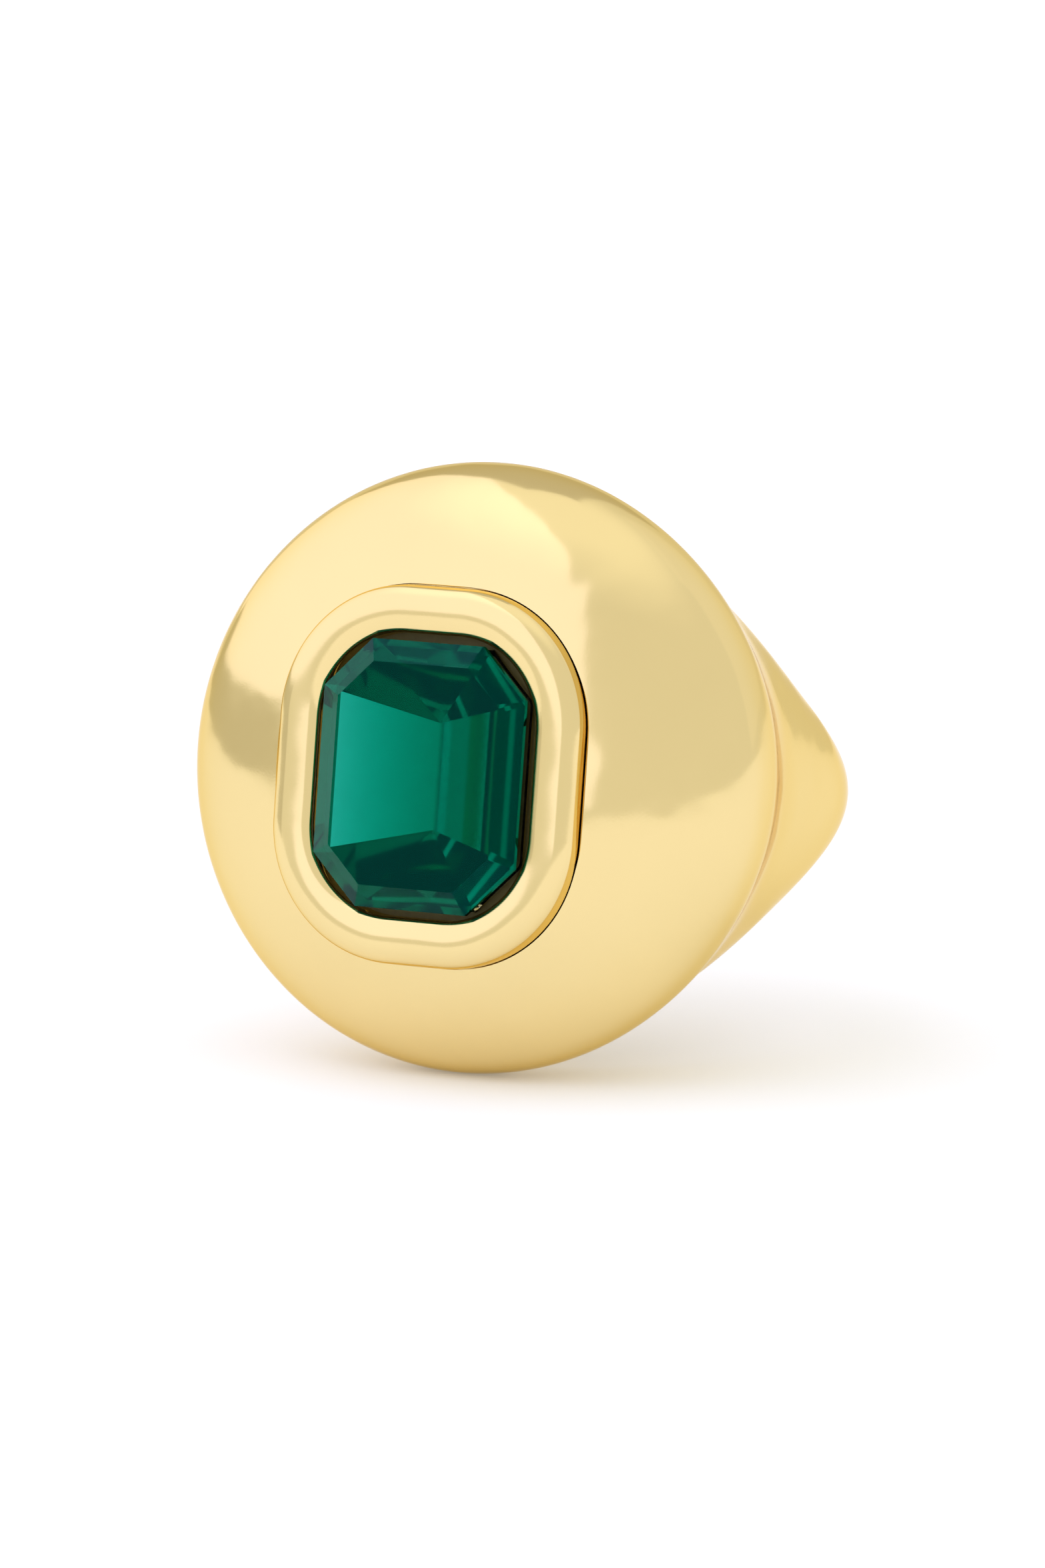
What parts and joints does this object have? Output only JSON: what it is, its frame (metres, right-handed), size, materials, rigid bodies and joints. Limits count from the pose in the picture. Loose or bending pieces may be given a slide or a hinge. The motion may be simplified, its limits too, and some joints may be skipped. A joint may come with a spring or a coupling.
{
  "type": "cocktail ring",
  "caption": "Domed cocktail ring with a tapering shank, a hollow head, a rolled oval bezel and a green octagon crystal.",
  "frame": {"origin": "middle of the finger hole, on its axis, level with the middle of the stone", "axes": "+Z along the finger hole, up the length of the stone; -Y out of the head through the stone; +X to the ring's side"},
  "size_m": [0.028, 0.0289, 0.0276],
  "materials": {
    "gold_plate": "mirror-polished pale yellow gold plate over a cast brass body",
    "bezel_gold": "mirror-polished pale yellow gold plate",
    "crystal": "faceted emerald-green crystal, polished",
    "foil": "bright silvery foil",
    "cement": "set clear-to-cream adhesive"
  },
  "bodies": {
    "root": {"ring_body": "gold_plate", "bezel_collar": "bezel_gold", "bezel_base_plate": "gold_plate", "cement_bed": "cement", "stone_foil": "foil", "stone": "crystal"}
  },
  "joints": []
}
